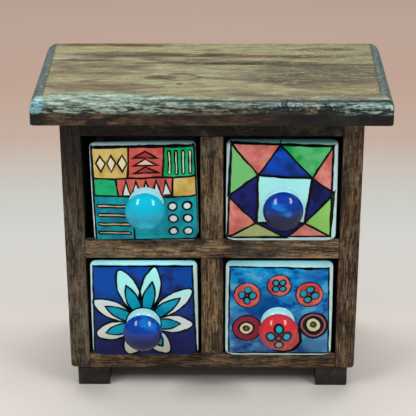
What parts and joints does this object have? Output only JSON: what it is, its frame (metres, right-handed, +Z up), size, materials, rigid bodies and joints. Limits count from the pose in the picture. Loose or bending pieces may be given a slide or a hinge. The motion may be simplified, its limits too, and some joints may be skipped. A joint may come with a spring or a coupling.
{
  "type": "tabletop drawer chest",
  "caption": "Small dark hardwood desk chest with rows of glazed ceramic drawers, mushroom knobs, an overhanging round-edged roof board and low block feet.",
  "frame": {"origin": "on the surface it stands on, under the middle of its width and of its depth from the knobs' tips to the back panel", "axes": "+Z up, the drawers face -Y and pull out along -Y, +X to the right as seen from the front"},
  "size_m": [0.2, 0.106, 0.1896],
  "materials": {
    "case_wood": "dark walnut stain, worn and waxed",
    "roof_wood": "grey-brown weathered grain with blue-green patina on the round edges",
    "foot_wood": "black stain",
    "plywood": "dark stained plywood",
    "wire_steel": "plain steel, a little dull",
    "patchwork_glaze": "hand-painted patchwork under clear gloss glaze",
    "star_glaze": "hand-painted star under clear gloss glaze",
    "daisy_glaze": "hand-painted daisy under clear gloss glaze",
    "rosette_glaze": "hand-painted rosettes under clear gloss glaze",
    "turquoise_glaze": "gloss turquoise glaze",
    "cobalt_glaze": "gloss cobalt glaze",
    "red_glaze": "gloss red glaze with painted petals"
  },
  "bodies": {
    "case": {"roof_board": "roof_wood", "left_side": "case_wood", "right_side": "case_wood", "bottom_board": "case_wood", "middle_shelf": "case_wood", "case_top": "case_wood", "lower_divider": "case_wood", "upper_divider": "case_wood", "back_panel": "plywood", "front_left_foot": "foot_wood", "front_right_foot": "foot_wood", "rear_left_foot": "foot_wood", "rear_right_foot": "foot_wood", "side_nails": "wire_steel", "divider_nails": "wire_steel", "roof_screws": "wire_steel", "back_pins": "wire_steel", "foot_nails": "wire_steel"},
    "upper_left": {"upper_left_drawer": "patchwork_glaze", "upper_left_knob": "turquoise_glaze"},
    "upper_right": {"upper_right_drawer": "star_glaze", "upper_right_knob": "cobalt_glaze"},
    "lower_left": {"lower_left_drawer": "daisy_glaze", "lower_left_knob": "cobalt_glaze"},
    "lower_right": {"lower_right_drawer": "rosette_glaze", "lower_right_knob": "red_glaze"}
  },
  "joints": [
    {"name": "upper_left_slide", "type": "slide", "parent": "case", "child": "upper_left", "axis": [0, -1, 0], "range_m": [0, 0.055]},
    {"name": "upper_right_slide", "type": "slide", "parent": "case", "child": "upper_right", "axis": [0, -1, 0], "range_m": [0, 0.055]},
    {"name": "lower_left_slide", "type": "slide", "parent": "case", "child": "lower_left", "axis": [0, -1, 0], "range_m": [0, 0.055]},
    {"name": "lower_right_slide", "type": "slide", "parent": "case", "child": "lower_right", "axis": [0, -1, 0], "range_m": [0, 0.055]}
  ]
}
